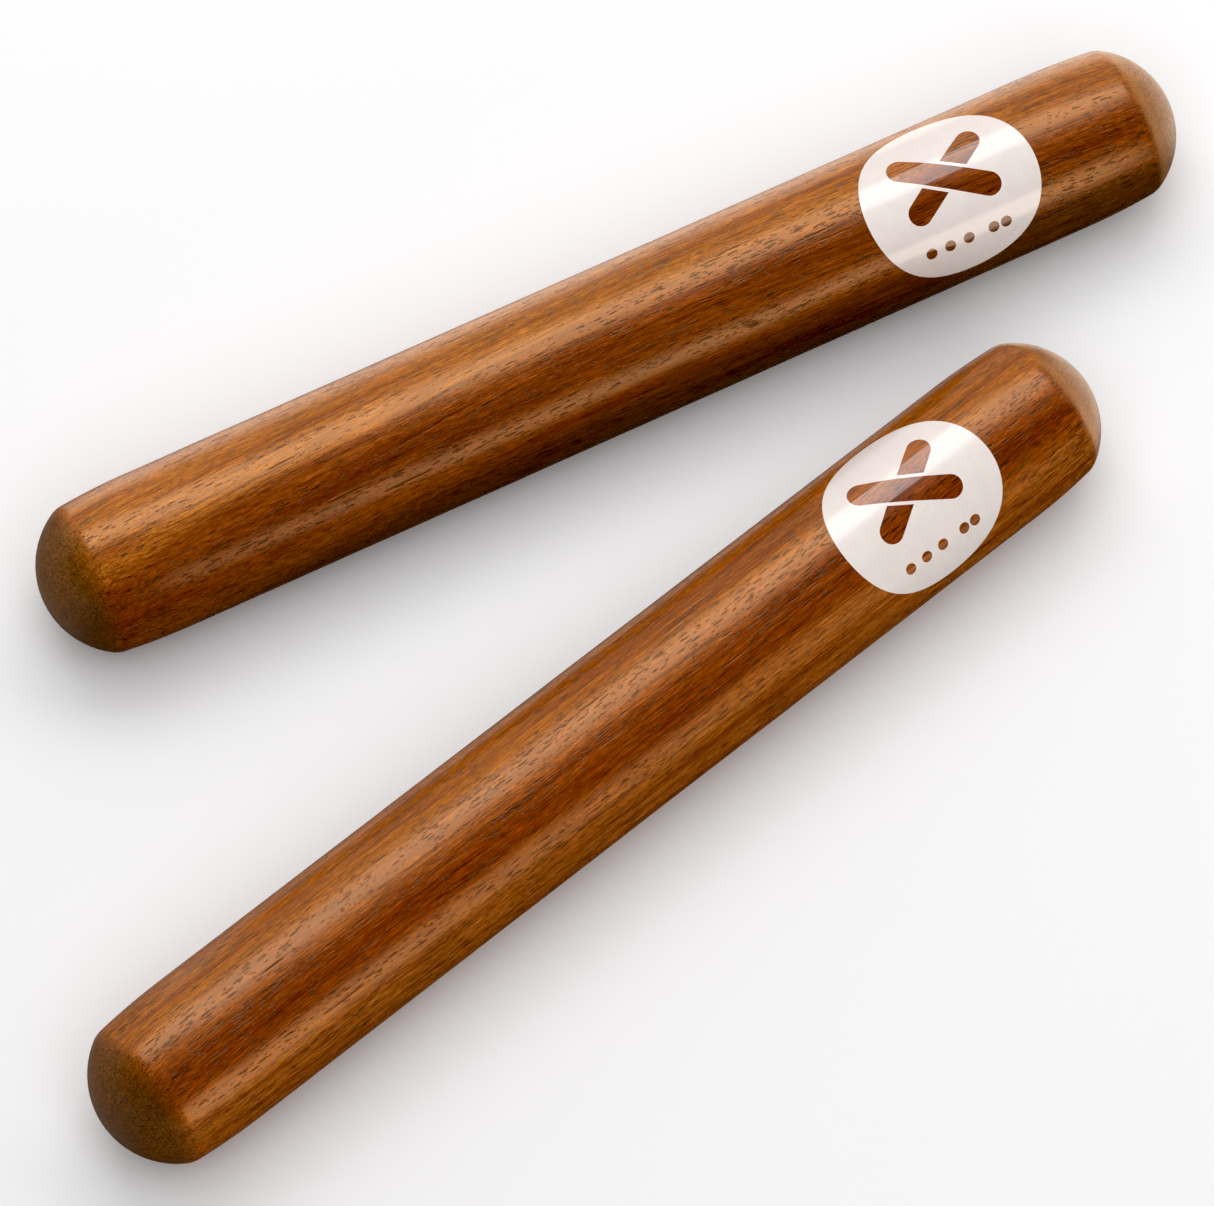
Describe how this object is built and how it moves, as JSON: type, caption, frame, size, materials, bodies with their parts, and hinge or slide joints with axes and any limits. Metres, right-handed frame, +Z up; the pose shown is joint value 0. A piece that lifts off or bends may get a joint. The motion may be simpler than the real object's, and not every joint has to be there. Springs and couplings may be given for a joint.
{
  "type": "claves",
  "caption": "Round hardwood percussion sticks with domed ends and a wrapped round label, struck together to give a sharp click.",
  "frame": {"origin": "on the surface that the claves lie on, under the middle of the pair's bounding box", "axes": "+X along the resting clave towards its labelled end, +Y from the striking clave towards the resting clave, +Z up"},
  "size_m": [0.2279, 0.1085, 0.0261],
  "materials": {
    "hardwood": "satin lacquer over open grain",
    "label_film": "gloss"
  },
  "bodies": {
    "resting_stick": {"resting_clave": "hardwood", "resting_label": "label_film"},
    "striking_stick": {"striking_clave": "hardwood", "striking_label": "label_film"}
  },
  "joints": [
    {"name": "striker_lift", "type": "slide", "parent": "resting_stick", "child": "striking_stick", "axis": [0, 0, 1], "range_m": [0, 0.12]}
  ]
}
